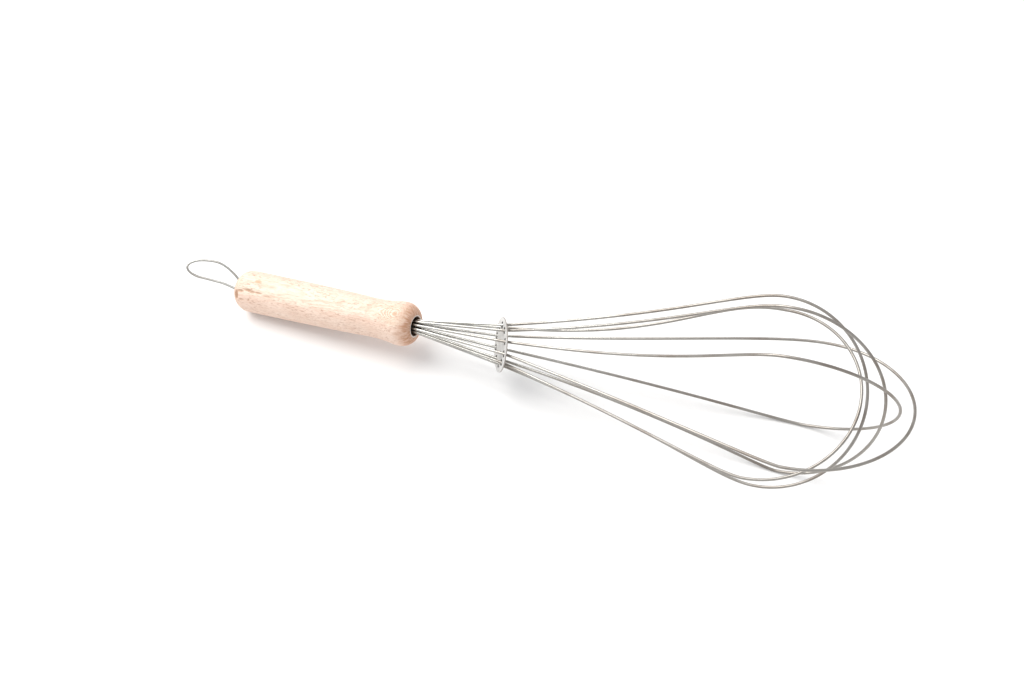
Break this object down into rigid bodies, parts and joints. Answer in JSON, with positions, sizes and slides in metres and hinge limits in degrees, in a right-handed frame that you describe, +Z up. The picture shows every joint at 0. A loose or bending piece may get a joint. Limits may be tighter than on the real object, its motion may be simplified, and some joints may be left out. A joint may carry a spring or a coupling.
{
  "type": "balloon whisk",
  "caption": "Hand whisk: springy steel wire loops fan out of a turned wooden handle through a loose spacer disc, with a bent wire hanging loop at the butt.",
  "frame": {"origin": "centre of the bounding box on the surface the whisk lies on", "axes": "+X along the whisk from the hanging loop towards the tips of the wire loops, +Y sideways across it, +Z up from the surface it lies on"},
  "size_m": [0.4514, 0.0962, 0.0991],
  "materials": {
    "beech": "pale unvarnished beech, sanded, worn by washing",
    "tinned_wire": "bright tinned spring steel wire",
    "stamped_steel": "pale stamped sheet steel"
  },
  "bodies": {
    "whisk": {"handle": "beech", "wire_loop_1": "tinned_wire", "wire_loop_2": "tinned_wire", "wire_loop_3": "tinned_wire", "wire_loop_4": "tinned_wire", "wire_loop_5": "tinned_wire", "wire_wedge": "beech", "hanging_loop": "tinned_wire", "butt_wedge": "beech"},
    "disc": {"spacer_disc": "stamped_steel"}
  },
  "joints": [
    {"name": "disc_slide", "type": "slide", "parent": "whisk", "child": "disc", "axis": [0.9953, 0, 0.0964], "range_m": [-0.0035, 0.0003]}
  ]
}
